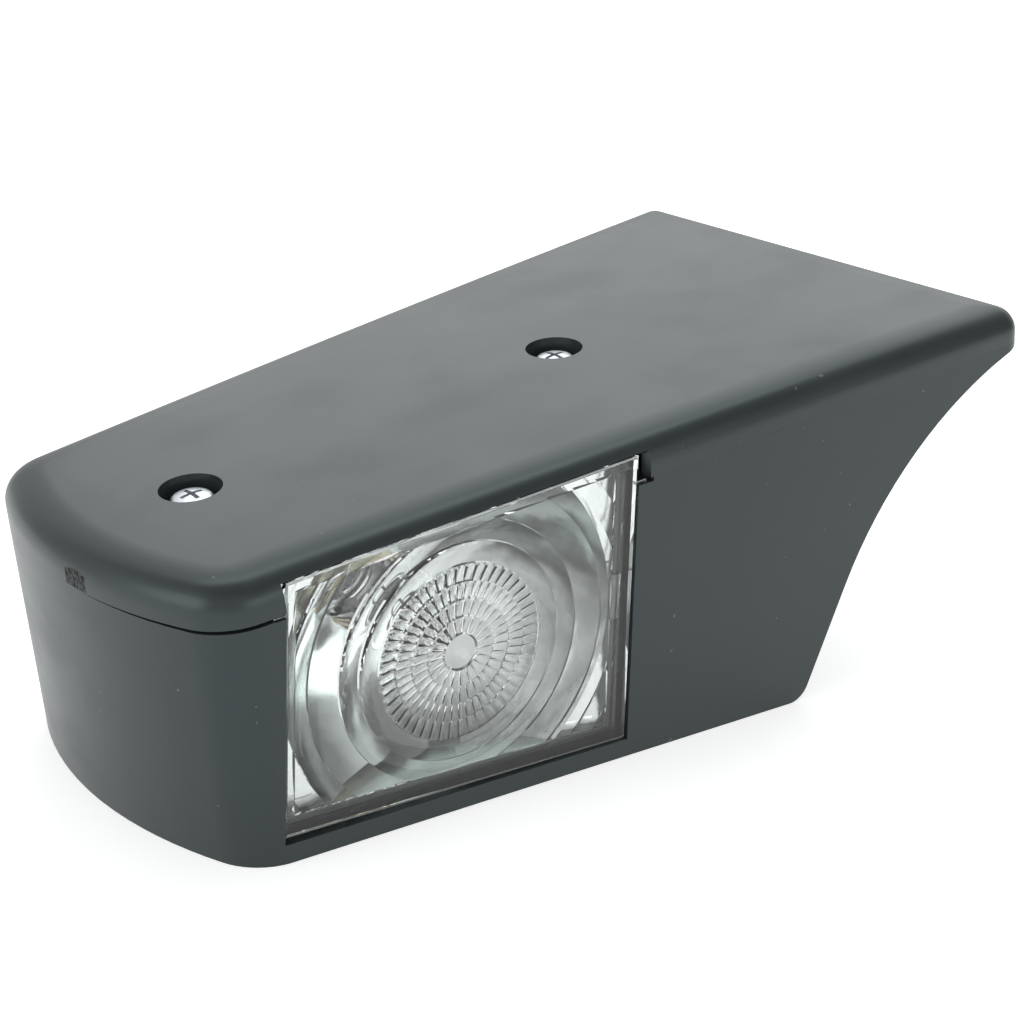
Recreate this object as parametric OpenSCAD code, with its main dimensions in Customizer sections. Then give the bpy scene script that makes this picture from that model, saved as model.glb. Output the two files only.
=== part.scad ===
// Roof marker light: a wedge-shaped moulded housing that stands on a vehicle roof,
// closed by a sloping cover held with two sunk screws. A clear lens slides down into
// the front wall, with a metallised reflector and a single-contact bulb behind it.
// Millimetres, +Z up. The origin is under the middle of the light, on its base.

/* [Cover] */
// Length of the cover along its slope
cover_l = 202.5; // [198:0.5:206]
// Width of the cover half way along
mid_w = 94.6; // [91:0.2:99]
// Taper of each long side towards the nose, degrees
taper = 5.4; // [4.6:0.1:5.8]
// Radius of the bowed nose
nose_r = 85; // [80:1:95]
// Radius of the two nose corners
nose_corner_r = 12; // [10:0.5:14]
// Radius of the two tail corners
tail_corner_r = 5; // [3:0.5:8]
// Height of the cover from its lower edge to its top
cover_t = 7.8; // [7.6:0.1:8.6]
// Rise of the cover's top in the middle, above a flat top
crown = 0.7; // [0:0.1:1.2]
// Thickness of the cover's top plate
top_t = 3.2; // [2.8:0.1:3.3]
// Thickness of the cover's skirt
skirt_t = 2.8; // [2.6:0.1:3]
// Radius of the rounded corner above the skirt
edge_r = 5.5; // [4:0.1:6]
// Radius of the soft blend from that corner into the top
edge_blend_r = 20; // [16:1:24]
// Angle that the soft blend turns through, degrees
edge_blend = 14; // [10:1:18]

/* [Housing] */
// Slope of the joint between the cover and the housing, degrees
slope = 7.4; // [6:0.1:8]
// Height of the joint above the base, half way along
joint_h = 59.7; // [56:0.1:63]
// Wall thickness
wall = 3; // [2.6:0.1:3.6]
// Floor thickness
floor_t = 3.5; // [3.2:0.1:4.5]
// Distance of the tail foot from the tail end of the cover
foot_in = 56; // [52:0.2:57]
// Lean of the tail end above its foot, degrees
tail_lean = 20; // [16:1:24]
// Height at which the tail end starts to sweep out
sweep_z = 25; // [20:1:30]
// Radius of the swept tail end
sweep_r = 80; // [76:1:84]
// Radius along the tail foot
foot_r = 5; // [2:0.5:7]
// Height of the lip that locates the cover
lip_h = 4; // [3:0.1:4.2]
// Thickness of that lip
lip_t = 2; // [1.6:0.1:2.4]
// Sag of the rim below the cover at the front nose corner
rim_sag = 0.9; // [0.3:0.1:0.95]
// Distance of the bulkhead from the lens's right edge
bulkhead_gap = 8; // [7:0.5:12]

/* [Lens] */
// Distance of the lens's left edge from the nose end of the cover
lens_in = 21.4; // [20.5:0.1:22]
// Width of the lens
lens_w = 76.9; // [74:0.1:77.4]
// Height of the window sill above the base
sill_z = 3.9; // [3.8:0.1:5]
// Amount by which the lens narrows towards its upper right corner
lens_draft = 2; // [0:0.1:2.4]
// Gap under the right-hand corner of the lens
lens_gap = 0.2; // [0.2:0.1:1]
// Rise of the lens's lower edge towards the nose
lens_toe = 1.6; // [0:0.1:2]
// Height of the lens above the joint
lens_rise = 5.1; // [4.8:0.1:5.4]
// Depth of the lens face behind the front wall
lens_recess = 0.9; // [0.5:0.1:1.2]
// Thickness of the raised panel and of the flange behind it
lens_t = 2; // [1.8:0.1:2.2]
// Width of the flange that slides in the grooves
flange_w = 2; // [1.5:0.1:2.4]
// Height of the optic centre above the base
optic_z = 31.4; // [30:0.1:33]
// Distance of the optic centre from the lens's left edge
optic_x = 38.1; // [37:0.1:39]
// Radius of the plain disc at the optic centre
disc_r = 3.7; // [3:0.1:4.4]
// Width of each faceted ring
facet_ring = 3.5; // [3:0.1:3.6]
// Width of each narrow smooth ring
smooth_ring = 4.2; // [3.8:0.1:4.6]
// Width of the wide smooth ring
wide_ring = 6.3; // [5:0.1:7]
// Distance of the rings' cut edge inside the reflector opening
ring_in = 1.2; // [0.5:0.1:2]
// Height of the ring steps
ring_step = 0.9; // [0.5:0.1:1.2]

/* [Reflector] */
// Left margin between the lens's edge and the reflector opening
margin_left = 2; // [1.6:0.1:4]
// Right margin
margin_right = 2; // [1.6:0.1:4]
// Lower margin
margin_low = 1.4; // [1.2:0.1:3]
// Focal length of the bowl
focal = 12; // [11:0.5:13]
// Depth of the bowl's bottom behind the front wall
bowl_d = 35; // [33:0.5:37]
// Wall thickness of the reflector
refl_t = 1.5; // [1.2:0.1:1.8]

/* [Fasteners] */
// Distance of the nose screw from the nose end of the cover
nose_screw_in = 28.1; // [27:0.1:30]
// Distance of the tail screw from the tail end of the cover
tail_screw_in = 84.9; // [82:0.1:86]
// Diameter of the sunk screw holes
sink_d = 12; // [11:0.5:13]
// Depth of the sunk screw holes
sink_depth = 5.5; // [5:0.1:6]
// Diameter of the screws
screw_d = 4; // [3.5:0.5:4]
// Length of the screws under the head
screw_l = 14; // [12:1:16]
// Distance of the nose mounting hole from the nose end of the cover
nose_mount_in = 43.25; // [41:0.25:45]
// Distance between the two mounting holes
mount_pitch = 90; // [86:0.5:92]
// Distance of both mounting holes from the centreline
mount_y = 14; // [13:0.5:16]
// Diameter of the mounting holes
mount_d = 5.5; // [4.5:0.5:6.5]

/* [Hidden] */
$fn = 96;

// Clearances: sliding and seated pieces, the amount by which a corner's arc crosses the
// sides beside it, and the overrun of cutting shapes
fit = 0.1;
press = 0.03;
cross = 0.01;
over = 1;
far = 300;

// Cover and joint
skirt_h = cover_t - edge_r * cos(edge_blend) - edge_blend_r * (1 - cos(edge_blend));
edge_inset = edge_r * (1 - sin(edge_blend)) + edge_blend_r * sin(edge_blend);
corner_min = 0.6;
tail_steps = 6;
nose_steps = 10;
bow_steps = 14;
bow_w = 50;
corner_steps = 8;
side_steps = 12;
blend_steps = 5;
tail_x = cover_l / 2;
nose_screw_x = nose_screw_in - tail_x;
tail_screw_x = tail_x - tail_screw_in;
nose_mount_x = nose_mount_in - tail_x;
tail_mount_x = nose_mount_x + mount_pitch;
foot_x = tail_x - foot_in;
nose_c = nose_r - cover_l / 2;
frame_x = (skirt_h * sin(slope) + edge_r * (1 - cos(slope))) / 2;
skirt_gap = 0.4;
lip_in = skirt_t + skirt_gap;
gasket_in = lip_in + 1.5 * fit;
pocket_h = cover_t - top_t;
lip_root = 6;
shelf_x = tail_x - 21;
sag_start = 5;

// Wall frame of the lens: u level along the wall, v up, depth measured inwards
phi = atan(cos(taper) * tan(slope));
lens_left = lens_in - tail_x;
lens_right = lens_left + lens_w;
bulkhead_x = lens_right + bulkhead_gap;
lens_low = sill_z + lens_gap;
side_gap = 0.3;
groove_d = lens_recess + lens_t;
seal_t = 1;
divider_d = groove_d + lens_t + seal_t + 2 * fit;
divider_t = 2;
refl_d = divider_d + divider_t;
rear_d = refl_d + refl_t + 2 * fit;
rear_t = 2;
frame_side = 5;
low_flange = 1.2;
ear_w = 2.6;
ear_h = 0.8;
opt_u = lens_left + optic_x;
open_l = lens_left + margin_left;
open_r = lens_right - margin_right;
open_low = lens_low + margin_low;
open_rise = 2.6;
ring_rise = 1.6;
refl_flange = 2.6;
bowl_steps = 20;
bowl_rim = sqrt(4 * focal * (bowl_d - refl_d));
refl_rise = pocket_h - fit;
facets = [20, 32, 48, 48];
facet_r = disc_r + facet_ring * len(facets);
ring_radii = [facet_r, facet_r + smooth_ring, facet_r + 2 * smooth_ring,
              facet_r + 2 * smooth_ring + wide_ring,
              facet_r + 3 * smooth_ring + wide_ring,
              facet_r + 4 * smooth_ring + wide_ring];
ring_valley = 0.25;
facet_groove = 0.5;

// Bulb and holder, as depths behind the front wall on the optic axis
shell_r = 8.15;
shell_t = 0.5;
shell_out = 1.4;
shell_front = bowl_d - shell_out;
shell_l = 18.5;
collar_r = shell_r + 2;
collar_l = 6;
collar_end = bowl_d + collar_l;
cap_r = 7.5;
cap_t = 0.3;
cap_lip = 2;
cap_out = 1.5;
cap_front = shell_front - cap_out;
cap_l = 12;
cap_end = cap_front + cap_l;
bead_l = 1.6;
bead_in = 0.5;
bead_tip = 0.6;
bead_plug = 2;
contact_r = 2.6;
contact_h = 1;
contact_end = cap_end + bead_l + contact_h;
filament_d = bowl_d - focal;
bulb_r = 8;
glass_t = 0.6;
neck_r = cap_r - cap_t - fit;
neck_l = 3;
neck_angle = 50;
glass_steps = 14;
stem_d = filament_d + bulb_r - 1;
lead_r = 0.25;
lead_span = 2.2;
plunger_r = 3.2;
plunger_t = 1;
plunger_end = contact_end + fit + plunger_t;
insul_t = 2;
insul_d = shell_front + shell_l - insul_t - shell_t;
stem_r = 1.2;
stem_out = 3;
stem_end = insul_d + insul_t + stem_out;
tab_w = 6.3;
tab_t = 0.8;
tab_l = 8;
earth_gap = 3;
spring_r = 2.5;
spring_wire = 0.35;
spring_turns = 3;
pin_r = 1;
pin_out = 0.6;
pin_back = 6.5;
pin_d = cap_end - pin_back;

// Screws, washers, inserts, bosses
head_d = 8;
head_h = 2.6;
head_dome = 12;
head_edge = 0.4;
head_steps = 6;
recess_h = 1.7;
recess_l = 4.6;
recess_w = 0.9;
cover_gap = 0.5;
washer_gap = 0.3;
washer_d = 9;
washer_t = 0.8;
seat_h = cover_t - sink_depth;
sink_wall = 2;
boss_d = 10;
insert_d = 5.6;
insert_l = 8;
insert_bore = screw_d + 2 * press;
web_t = 2;
rib_drop = 8;

// Base
pad_h = 2;
sleeve_wall = 1.25;
sleeve_h = floor_t + pad_h;
pad_w = 2.5;
pad_d = mount_d + 2 * (sleeve_wall + pad_w);
seal_in = 4;
seal_w = 2.5;
seal_h = 1.5;
inlet_x = -20;
inlet_y = 24;
inlet_d = 10;
inlet_recess_d = 15;
inlet_recess_h = 1.3;
cable_d = 5;
grommet_h = 1.5;

// Plan of the cover and the housing, in the plane of the joint

// Radius that a corner keeps when the outline is moved in by q
function corner_at(r, q) = max(r - q, corner_min);

// Centre of the nose corner on the +y side, for the outline moved in by q
function nose_corner(q) =
    let (r = corner_at(nose_corner_r, q))
    let (c = mid_w / 2 - (q + r) / cos(taper))
    let (k = nose_r - q - r)
    let (a = 1 + pow(tan(taper), 2))
    let (b = 2 * (c * tan(taper) - nose_c))
    let (d = nose_c * nose_c + c * c - k * k)
    let (x = (-b - sqrt(b * b - 4 * a * d)) / (2 * a))
    [x, c + x * tan(taper)];

// Centre of the tail corner on the +y side
function tail_corner(q) =
    let (r = corner_at(tail_corner_r, q))
    let (x = tail_x - q - r)
    [x, mid_w / 2 + x * tan(taper) - (q + r) / cos(taper)];

function arc(c, r, from, to, steps) =
    [for (i = [0:steps]) c + r * [cos(from + (to - from) * i / steps),
                                  sin(from + (to - from) * i / steps)]];

// Direction from the nose arc's centre to the nose corner
function nose_turn(q) = let (c = nose_corner(q)) atan2(c[1], c[0] - nose_c);

function half_outline(q) =
    let (tail = arc(tail_corner(q), corner_at(tail_corner_r, q), 0, 90 + taper, tail_steps))
    let (nose = arc(nose_corner(q), corner_at(nose_corner_r, q), 90 + taper, nose_turn(q),
                    nose_steps))
    let (run = nose[0] - tail[tail_steps])
    concat(tail, [for (i = [1:side_steps - 1]) tail[tail_steps] + run * i / side_steps], nose,
           arc([nose_c, 0], nose_r - q, nose_turn(q), 180, bow_steps));

function outline(q) =
    let (h = half_outline(q))
    concat(h, [for (i = [len(h) - 2:-1:0]) [h[i][0], -h[i][1]]]);

// The same outline as true arcs and straight sides
module plan(q) {
    nr = corner_at(nose_corner_r, q);
    tr = corner_at(tail_corner_r, q);
    n = nose_corner(q);
    t = tail_corner(q);
    out = [-sin(taper), cos(taper)];
    nose = [nose_c, 0] + (nose_r - q) * [cos(nose_turn(q)), sin(nose_turn(q))];
    half = [t + [tr, 0], t + tr * out, n + nr * out, nose];
    polygon(concat(half, [for (i = [len(half) - 1:-1:0]) [half[i][0], -half[i][1]]]));
    for (side = [-1, 1]) {
        translate([n[0], side * n[1]]) circle(nr + cross);
        translate([t[0], side * t[1]]) circle(tr + cross);
    }
    intersection() {
        translate([nose_c, 0]) circle(nose_r - q, $fn = 360);
        translate([nose[0], 0]) translate([-bow_w, -mid_w]) square([bow_w, 2 * mid_w]);
    }
}

// Places its children in the plane of the joint, x up the slope
module joint() {
    translate([frame_x, 0, joint_h]) rotate([0, -slope, 0]) children();
}

// Places a flat shape on the front wall: x level along it, y up, z outwards
module front() {
    joint() translate([0, -mid_w / 2, 0]) rotate([0, 0, -taper])
        rotate([90, 0, 0]) rotate([0, 0, -phi]) translate([0, -joint_h, 0]) children();
}

// A slab of the flat shape on the front wall between two depths
module slab(from, to) {
    front() translate([0, 0, -to]) linear_extrude(to - from) children();
}

// Places its children on the optic axis, z inwards from the front wall's face
module optic() {
    front() translate([opt_u, optic_z, 0]) rotate([180, 0, 0]) children();
}

// Cover

// Section of the cover's edge as [distance in, height] pairs
function edge_points() = concat(
    [[0, 0]],
    [for (i = [0:corner_steps]) let (a = (90 - edge_blend) * i / corner_steps)
        [edge_r * (1 - cos(a)), skirt_h + edge_r * sin(a)]],
    [for (i = [1:blend_steps]) let (a = edge_blend * (1 - i / blend_steps))
        [edge_inset - edge_blend_r * sin(a), cover_t - edge_blend_r * (1 - cos(a))]]);

// Height added at a point of the cover by its crown
function crown_at(x, h) = crown * (1 - pow(x / tail_x, 2)) * h / cover_t;

// The cover's outer form, lofted from its lower edge through the edge section to the top,
// which is closed by strips from one long side to the other
module cover_body() {
    edge = edge_points();
    count = len(outline(0));
    half = len(half_outline(0));
    top = (len(edge) - 1) * count;
    polyhedron(
        points = [for (p = edge) for (o = outline(p[0]))
            [o[0], o[1], p[1] + crown_at(o[0], p[1])]],
        faces = concat(
            [[for (i = [0:count - 1]) i]],
            [for (k = [0:len(edge) - 2]) for (i = [0:count - 1])
                let (a = k * count + i) let (b = k * count + (i + 1) % count)
                each [[a, a + count, b], [b, a + count, b + count]]],
            [for (i = [0:half - 2]) let (a = top + i) let (b = top + count - 1 - i)
                each i < half - 2 ? [[a, b, a + 1], [a + 1, b, b - 1]] : [[a, b, a + 1]]]));
}

// Places its children at both screws, in the plane of the joint
module at_screws() {
    for (x = [nose_screw_x, tail_screw_x]) translate([x, 0, 0]) children();
}

// Cut for the lens in the cover: the raised panel passes through the skirt
module lens_notch() {
    width = (lens_right - lens_left) / cos(phi) + lens_rise * tan(phi) + 2 * side_gap + over;
    rotate([0, 0, -taper])
        translate([lens_left / cos(phi) - side_gap, -over, -over])
            cube([width, groove_d + fit + over, lens_rise + 2 * fit + over]);
}

module top_cover() {
    color("#3b4042") joint() difference() {
        cover_body();
        difference() {
            translate([0, 0, -over]) linear_extrude(pocket_h + over) plan(skirt_t);
            at_screws() cylinder(d = sink_d + 2 * sink_wall, h = cover_t);
        }
        at_screws() {
            translate([0, 0, seat_h]) cylinder(d = sink_d, h = cover_t);
            translate([0, 0, -over]) cylinder(d = screw_d + cover_gap, h = cover_t);
        }
        translate([0, -mid_w / 2, 0]) lens_notch();
    }
}

module cover_gasket() {
    color("#202223") joint() translate([0, 0, lip_h]) linear_extrude(pocket_h - lip_h)
        difference() {
            plan(gasket_in);
            plan(gasket_in + lip_t - 3 * fit);
        }
}

// Housing

// Side view of the housing moved in by q, from height low up
module side_profile(q, low) {
    lean = [sin(tail_lean), cos(tail_lean)];
    inward = [-cos(tail_lean), sin(tail_lean)];
    start = [foot_x, 0] + lean * sweep_z / cos(tail_lean) + q * inward;
    foot = start - lean * (start[1] - low) / cos(tail_lean);
    centre = start - (sweep_r + q) * inward;
    cut = foot_r * tan(45 - tail_lean / 2);
    r = q > 0 ? 0 : foot_r;
    trim = q > 0 ? 0 : cut;
    difference() {
        union() {
            polygon([[-far, low], foot - [trim, 0], foot + trim * lean, start,
                     [far, start[1]], [far, far], [-far, far]]);
            if (r > 0) translate([foot[0] - trim, low + r]) circle(r);
        }
        translate(centre) circle(sweep_r + q, $fn = 180);
    }
}

// The housing's form moved in by q, from height low up to the height top over the joint
module form(q, low, top) {
    intersection() {
        joint() translate([0, 0, -far / 2]) linear_extrude(far / 2 + top) plan(q);
        translate([0, mid_w, 0]) rotate([90, 0, 0]) linear_extrude(2 * mid_w)
            side_profile(q, low);
    }
}

// Shape of the lens flange, window and reflector opening: side edges upright, lower
// edge level or toed up, top edge along the joint's slope and rise above it
module pane(left, right, low_left, low_right, rise) {
    top_l = joint_h + left * tan(phi) + rise / cos(phi);
    top_r = joint_h + right * tan(phi) + rise / cos(phi);
    polygon([[left, low_left], [right, low_right], [right, top_r], [left, top_l]]);
}

module reflector_opening(grow, rise) {
    pane(open_l - grow, open_r + grow, open_low - grow, open_low - grow, rise);
}

// Thick frame inside the front wall that carries the lens and the reflector
module window_frame() {
    slab(-over, rear_d + rear_t)
        pane(lens_left - frame_side, lens_right + frame_side, -over, -over, over);
}

module window_cuts() {
    slab(-over, groove_d + over)
        pane(lens_left - side_gap, lens_right + side_gap, sill_z, sill_z, lip_h + over);
    slab(groove_d - fit, divider_d)
        pane(lens_left - flange_w - fit, lens_right + flange_w + fit,
             sill_z - low_flange - fit, sill_z - low_flange - fit, lip_h + over);
    slab(divider_d - over, rear_d)
        reflector_opening(0, lip_h + over);
    slab(refl_d, rear_d)
        reflector_opening(refl_flange + fit, lip_h + over);
    slab(rear_d - over, rear_d + rear_t + over)
        reflector_opening(refl_t + fit, lip_h + over);
}

// Seats in the rim for the two ears of the lens
module ear_seats() {
    front() translate([0, joint_h, 0]) rotate([0, 0, phi]) {
        translate([lens_left / cos(phi) - ear_w - fit, -ear_h - fit, -groove_d - fit])
            cube([ear_w + over, ear_h + fit + over, groove_d + fit + over]);
        translate([lens_right / cos(phi) - over, -ear_h - fit, -groove_d - fit])
            cube([ear_w + over + fit, ear_h + fit + over, groove_d + fit + over]);
    }
}

module lens_ears() {
    inner = lens_t + lens_draft;
    front() translate([0, joint_h, 0]) rotate([0, 0, phi]) {
        translate([lens_left / cos(phi) - ear_w, -ear_h, -groove_d])
            cube([ear_w + lens_t, ear_h - fit, groove_d - lens_recess]);
        translate([lens_right / cos(phi) - inner, -ear_h, -groove_d])
            cube([ear_w + inner, ear_h - fit, groove_d - lens_recess]);
    }
}

// The rim sags a little under the cover, from the nose's middle to the lens
module rim_wedge() {
    joint() translate([-far, 0, 0]) rotate([90, 0, 90])
        linear_extrude(far + lens_left / cos(phi))
            polygon([[-sag_start, over], [-sag_start, 0], [-mid_w / 2, -rim_sag],
                     [-mid_w, -rim_sag], [-mid_w, over]]);
}

// Lip that locates the cover, left open where the lens stands through the joint, with
// a shelf at the tail that closes the cover's overhang
module cover_lip() {
    difference() {
        translate([0, 0, -lip_root]) linear_extrude(lip_root + lip_h) plan(lip_in);
        translate([0, 0, -lip_root - over])
            linear_extrude(lip_root + lip_h + 2 * over) plan(lip_in + lip_t);
        translate([shelf_x, -mid_w, -lip_root - over])
            cube([cover_l, 2 * mid_w, lip_root + over]);
        translate([0, -mid_w / 2, -lip_root - over]) rotate([0, 0, -taper])
            translate([lens_left / cos(phi) - frame_side + over, -over, 0])
                cube([lens_w + 2 * frame_side - over, refl_d, lip_root + lip_h + 2 * over]);
    }
    intersection() {
        linear_extrude(lip_h) plan(lip_in);
        translate([shelf_x, -mid_w, 0]) cube([cover_l, 2 * mid_w, lip_h]);
    }
}

module screw_posts() {
    joint() at_screws() translate([0, 0, -far / 2]) cylinder(d = boss_d, h = far / 2);
    joint() translate([-tail_x, -web_t / 2, -far / 2])
        cube([tail_x + nose_screw_x, web_t, far / 2 - rib_drop]);
    intersection() {
        translate([bulkhead_x, -web_t / 2, 0])
            cube([tail_screw_x - bulkhead_x + boss_d / 2, web_t, far]);
        joint() translate([-far / 2, -far / 2, -far]) cube([far, far, far - rib_drop]);
    }
}

module bulkhead() {
    difference() {
        translate([bulkhead_x, -mid_w, 0]) cube([web_t, 2 * mid_w, far]);
        translate([bulkhead_x - over, inlet_y - inlet_d / 2, floor_t])
            cube([web_t + 2 * over, inlet_d, inlet_d]);
    }
}

module at_mounts() {
    for (x = [nose_mount_x, tail_mount_x]) translate([x, mount_y, 0]) children();
}

module housing() {
    color("#34383a") difference() {
        union() {
            difference() {
                form(0, 0, 0);
                form(wall, floor_t, over);
            }
            intersection() {
                form(0, 0, 0);
                union() {
                    window_frame();
                    screw_posts();
                    bulkhead();
                    at_mounts() cylinder(d = pad_d, h = sleeve_h);
                }
            }
            joint() cover_lip();
        }
        window_cuts();
        ear_seats();
        rim_wedge();
        joint() at_screws() translate([0, 0, -insert_l - rib_drop])
            cylinder(d = insert_d + 2 * press, h = insert_l + rib_drop + lip_h + over);
        at_mounts() translate([0, 0, -over])
            cylinder(d = mount_d + 2 * sleeve_wall + 2 * press, h = sleeve_h + 2 * over);
        translate([inlet_x, inlet_y, -over]) {
            cylinder(d = inlet_d, h = floor_t + 2 * over);
            cylinder(d = inlet_recess_d, h = inlet_recess_h + over);
        }
        base_groove(0);
    }
}

// Ring groove in the underside for the base gasket, made smaller by gap all round
module base_groove(gap) {
    intersection() {
        difference() {
            form(seal_in + gap, -over, 0);
            form(seal_in + seal_w - gap, -2 * over, 0);
        }
        translate([-far, -far, gap > 0 ? 0 : -over])
            cube([2 * far, 2 * far, gap > 0 ? seal_h : seal_h + over]);
    }
}

module base_gasket() {
    color("#17191a") base_groove(fit);
}

// Lens

// Section of the ring steps on the inner face as [radius, height] pairs
function ring_steps(radii) =
    [for (i = [0:len(radii) - 2]) each [[radii[i], ring_valley], [radii[i + 1], ring_step]]];

function all_radii() =
    concat([for (i = [0:len(facets) - 1]) disc_r + facet_ring * i], ring_radii);

module lens_rings() {
    steps = ring_steps(all_radii());
    last = all_radii()[len(all_radii()) - 1];
    rotate_extrude($fn = 180)
        polygon(concat([[0, -over], [0, ring_step], [disc_r, ring_step]], steps,
                       [[last, -over]]));
}

// Grooves between the facets of one ring
module facet_grooves(ring) {
    r = disc_r + facet_ring * ring;
    for (i = [0:facets[ring] - 1])
        rotate([0, 0, 360 * i / facets[ring]])
            translate([r + fit, 0, ring_step + fit]) rotate([45, 0, 0])
                translate([0, -facet_groove / 2, -facet_groove / 2])
                    cube([facet_ring - 2 * fit, facet_groove, facet_groove]);
}

// Raised panel of the lens, whose right edge leans in by the draft
module lens_panel() {
    top_l = joint_h + lens_left * tan(phi) + lens_rise / cos(phi);
    top_u = lens_right - lens_draft;
    top_r = joint_h + top_u * tan(phi) + lens_rise / cos(phi);
    slab(lens_recess, groove_d)
        polygon([[lens_left, lens_low + lens_toe], [lens_right, lens_low],
                 [top_u, top_r], [lens_left, top_l]]);
}

module lens() {
    color("#dfe7ea", 0.45) {
        difference() {
            union() {
                lens_panel();
                slab(groove_d - over / 2, groove_d + over / 2)
                    pane(open_l, open_r - lens_draft, open_low, open_low, 0);
                slab(groove_d, groove_d + lens_t)
                    pane(lens_left - flange_w, lens_right + flange_w,
                         sill_z - low_flange, sill_z - low_flange, lip_h - press);
                lens_ears();
                intersection() {
                    optic() translate([0, 0, groove_d + lens_t]) lens_rings();
                    slab(groove_d + lens_t - over, divider_d + over)
                        reflector_opening(-ring_in, ring_rise);
                }
            }
            optic() translate([0, 0, groove_d + lens_t])
                for (ring = [0:len(facets) - 1]) facet_grooves(ring);
        }
    }
}

module lens_gasket() {
    color("#1c1e1f") difference() {
        slab(groove_d + lens_t + fit, divider_d - fit / 2)
            pane(lens_left - flange_w + fit, lens_right + flange_w - fit,
                 sill_z - low_flange, sill_z - low_flange, 0);
        slab(groove_d, divider_d + over)
            reflector_opening(2 * fit, over);
    }
}

// Reflector

// Paraboloid open towards the lens, as a solid on the optic axis, made deeper by grow
module paraboloid(grow) {
    rim = bowl_rim + grow;
    rotate_extrude($fn = 180)
        polygon(concat(
            [for (i = [0:bowl_steps]) let (r = rim * i / bowl_steps)
                [r, bowl_d + grow - r * r / (4 * focal)]],
            [[rim, refl_d - over - grow], [0, refl_d - over - grow]]));
}

module reflector() {
    color("#cfd4d6") difference() {
        union() {
            slab(refl_d + fit, refl_d + fit + refl_t)
                reflector_opening(refl_flange, refl_rise);
            intersection() {
                optic() paraboloid(refl_t);
                slab(refl_d + fit, bowl_d + 2 * refl_t)
                    reflector_opening(refl_t, open_rise + refl_t);
            }
            optic() translate([0, 0, bowl_d - refl_t])
                cylinder(r = collar_r, h = collar_l + refl_t);
        }
        intersection() {
            optic() paraboloid(0);
            slab(refl_d - over, bowl_d + over) reflector_opening(0, open_rise);
        }
        optic() translate([0, 0, bowl_d - 2 * focal / 3])
            cylinder(r = shell_r + press, h = collar_l + focal);
    }
}

// Bulb holder

module holder_shell() {
    color("#c9b37a") optic() translate([0, 0, shell_front]) difference() {
        union() {
            cylinder(r = shell_r, h = shell_l);
            translate([0, 0, collar_end - shell_front + fit])
                cylinder(r = collar_r, h = shell_t);
        }
        translate([0, 0, -over]) cylinder(r = shell_r - shell_t, h = shell_l + over - shell_t);
        cylinder(r = plunger_r, h = shell_l + over);
        for (side = [0, 180]) rotate([0, 0, side]) {
            translate([0, -pin_r - fit, -over])
                cube([collar_r, 2 * (pin_r + fit), pin_d - shell_front + over]);
            translate([0, 0, pin_d - shell_front]) rotate([0, 90, 0])
                cylinder(r = pin_r + fit, h = shell_r + fit);
        }
    }
}

module holder_insulator() {
    color("#6b4a33") optic() translate([0, 0, insul_d]) difference() {
        cylinder(r = shell_r - shell_t - fit, h = insul_t);
        translate([0, 0, -over]) cylinder(r = stem_r + fit, h = insul_t + 2 * over);
    }
}

module contact_plunger() {
    color("#b9924c") optic() {
        translate([0, 0, contact_end + fit]) cylinder(r = plunger_r, h = plunger_t);
        translate([0, 0, contact_end + fit]) cylinder(r = stem_r, h = stem_end - contact_end);
    }
}

// One turn after another, joined by short steps, between the plunger and the insulator
module contact_spring() {
    length = insul_d - plunger_end - 2 * fit;
    turns = floor(spring_turns);
    pitch = length / turns;
    color("#a9adb0") optic() translate([0, 0, plunger_end + fit]) {
        for (i = [0:turns - 1]) translate([0, 0, pitch * (i + 0.5)])
            rotate_extrude($fn = 48) translate([spring_r, 0]) circle(spring_wire, $fn = 16);
        for (i = [0:turns - 2]) translate([spring_r, 0, pitch * (i + 0.5)])
            cylinder(r = spring_wire, h = pitch, $fn = 16);
    }
}

module live_terminal() {
    color("#c4a25a") optic() {
        translate([-tab_w / 2, -tab_w / 2, insul_d + insul_t + shell_t + fit]) difference() {
            cube([tab_w, tab_w, tab_t]);
            translate([tab_w / 2, tab_w / 2, -over]) cylinder(r = stem_r + press, h = 3 * over);
        }
        translate([-tab_w / 2, tab_w / 2 - tab_t, insul_d + insul_t + shell_t + fit])
            cube([tab_w, tab_t, tab_l]);
    }
}

module earth_terminal() {
    color("#c4a25a") optic() {
        translate([-tab_w / 2, -shell_r - tab_t - fit, collar_end + earth_gap])
            cube([tab_w, tab_t, tab_l + shell_l - shell_r]);
    }
}

// Bulb

// Outer section of the glass envelope, moved in by t, from the neck to the crown
function glass_section(t) = concat(
    [[neck_r - t, cap_front + neck_l], [neck_r - t, stem_d]],
    [for (i = [0:glass_steps]) let (a = neck_angle - (90 + neck_angle) * i / glass_steps)
        [max((bulb_r - t) * cos(a), 0), filament_d + (bulb_r - t) * sin(a)]]);

module bulb_glass() {
    outer = glass_section(0);
    inner = glass_section(glass_t);
    color("#f2f6f7", 0.4) optic() {
        rotate_extrude() polygon(concat(outer,
            [for (i = [len(inner) - 1:-1:0]) inner[i]]));
        translate([0, 0, stem_d])
            cylinder(r1 = lead_span + 3 * lead_r, r2 = neck_r, h = cap_front + neck_l - stem_d);
    }
}

module bulb_filament() {
    color("#8d8f92") optic() {
        translate([0, 0, filament_d]) rotate([-90, 0, 0])
            rotate_extrude(angle = 180) translate([lead_span, 0]) circle(lead_r, $fn = 16);
        for (side = [-lead_span, lead_span]) translate([side, 0, filament_d])
            cylinder(r = lead_r, h = stem_d - filament_d - press, $fn = 16);
    }
}

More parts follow.
